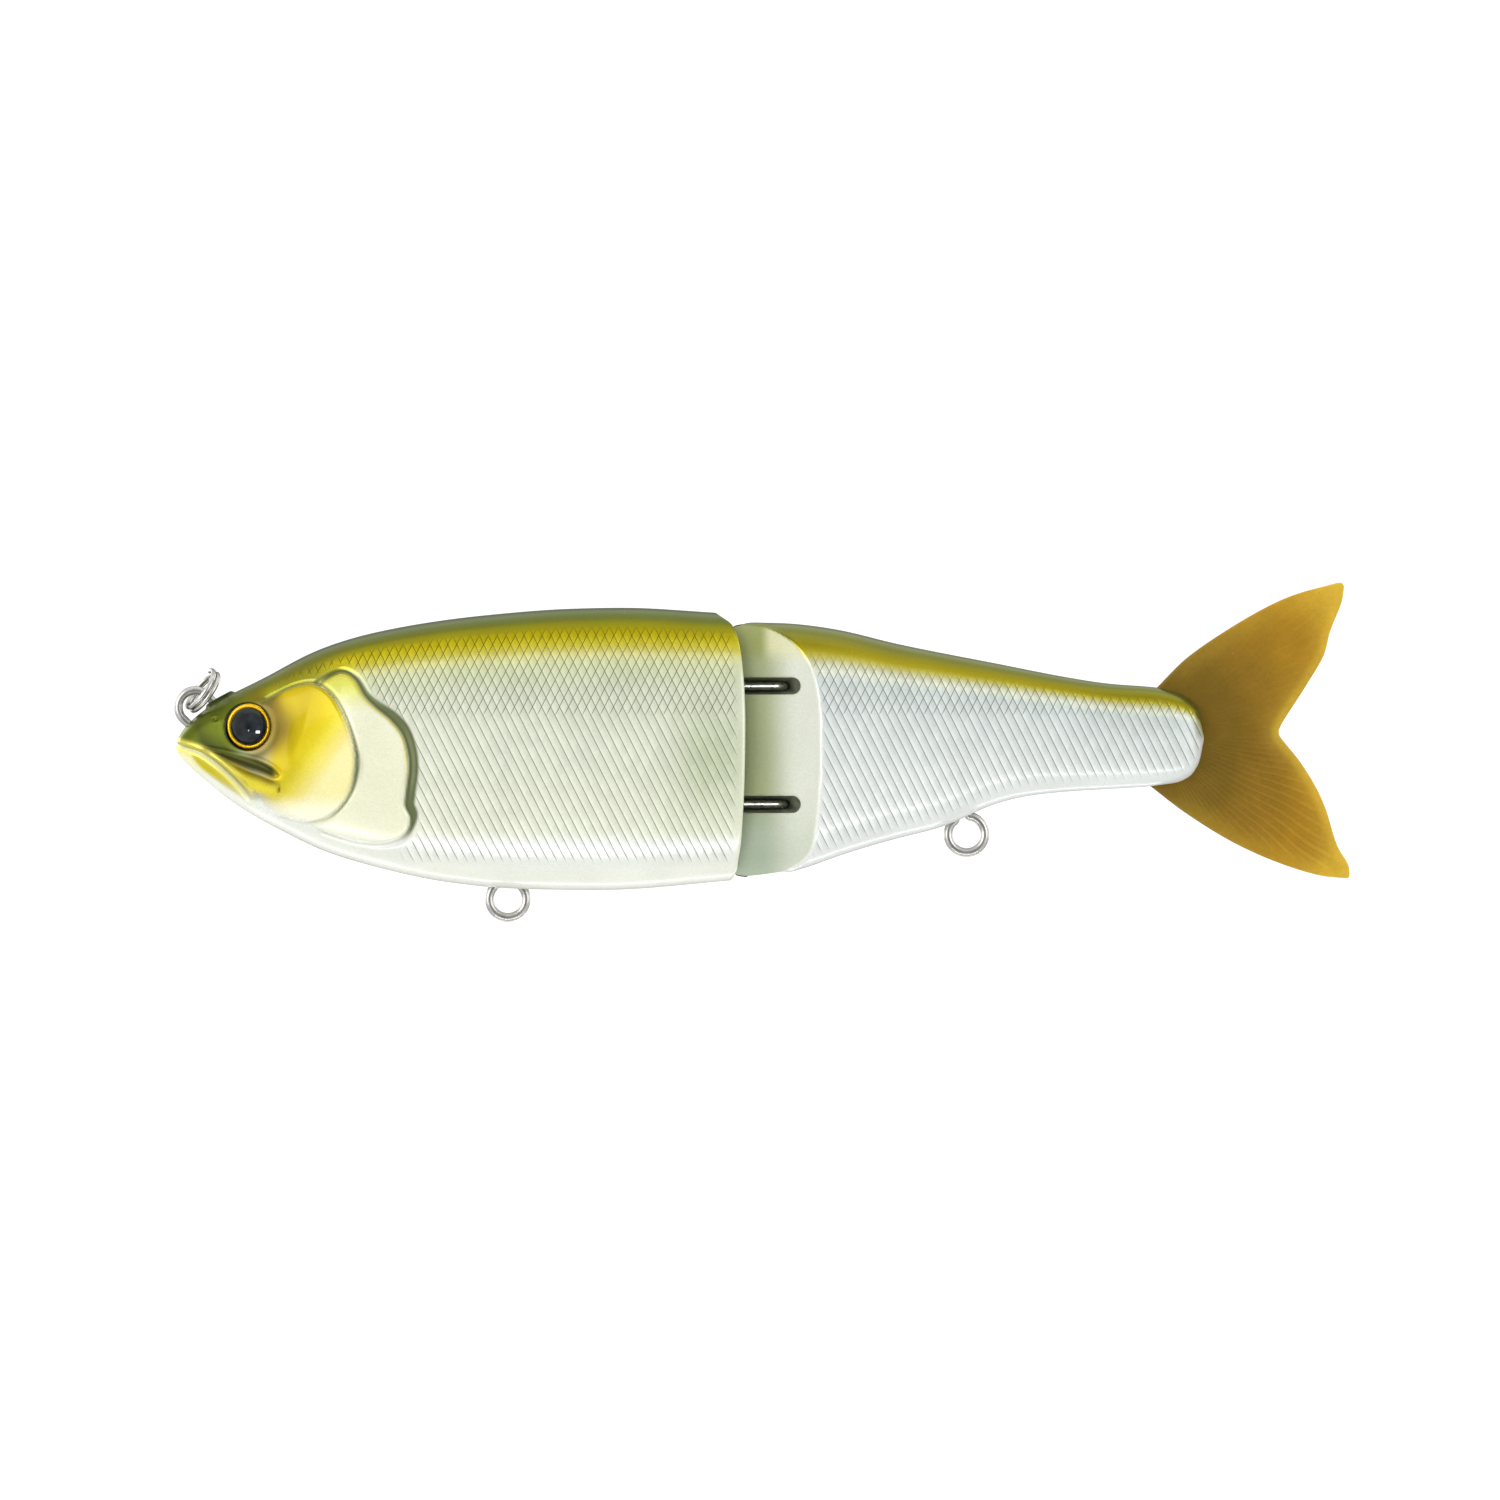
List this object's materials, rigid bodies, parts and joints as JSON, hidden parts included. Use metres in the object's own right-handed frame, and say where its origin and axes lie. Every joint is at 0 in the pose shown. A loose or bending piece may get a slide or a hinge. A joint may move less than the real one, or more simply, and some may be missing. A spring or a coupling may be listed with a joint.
{
  "type": "swimbait",
  "caption": "Jointed glide swimbait: hard scaled body sections linked by wire loops on a hinge pin, with a soft forked tail, a nose split ring and belly hook eyes.",
  "frame": {"origin": "centre of the line-tie eye on the nose", "axes": "+X from the nose towards the tail, +Z towards the back fin line, +Y towards the bait's right flank"},
  "size_m": [0.1805, 0.024, 0.052],
  "materials": {
    "front_shell_paint": "pearl paint under clear coat, olive back",
    "rear_shell_paint": "pearl paint under clear coat, matte knuckle",
    "stainless_wire": "bright drawn wire",
    "ballast_steel": "plain",
    "eye_foil": "gold foil",
    "eye_dome": "polished black",
    "soft_tail": "soft translucent amber"
  },
  "bodies": {
    "front_section": {"front_shell_left": "front_shell_paint", "front_shell_right": "front_shell_paint", "line_tie_eye": "stainless_wire", "front_hook_hanger": "stainless_wire", "upper_joint_loop": "stainless_wire", "lower_joint_loop": "stainless_wire", "front_ballast": "ballast_steel", "head_ballast": "ballast_steel", "left_eye_foil": "eye_foil", "left_eye_dome": "eye_dome", "right_eye_foil": "eye_foil", "right_eye_dome": "eye_dome"},
    "ring": {"split_ring": "stainless_wire"},
    "rear_section": {"rear_shell_left": "rear_shell_paint", "rear_shell_right": "rear_shell_paint", "hinge_pin": "stainless_wire", "rear_hook_hanger": "stainless_wire", "rear_ballast": "ballast_steel", "tail_root": "soft_tail", "tail_pin_upper": "ballast_steel", "tail_pin_lower": "ballast_steel"},
    "tail": {"tail_fin": "soft_tail"}
  },
  "joints": [
    {"name": "body_swing", "type": "hinge", "parent": "front_section", "child": "rear_section", "pos_m": [0.0888, 0, 0], "axis": [0, 0, 1], "range_deg": [-42, 42]},
    {"name": "tail_flex", "type": "hinge", "parent": "rear_section", "child": "tail", "pos_m": [0.1562, 0, 0], "axis": [0, 0, 1], "range_deg": [-35, 35], "stiffness_Nm_per_rad": 0.004},
    {"name": "ring_swing", "type": "hinge", "parent": "front_section", "child": "ring", "pos_m": [0, 0, 0], "axis": [0, 1, 0], "range_deg": [-90, 15]}
  ]
}
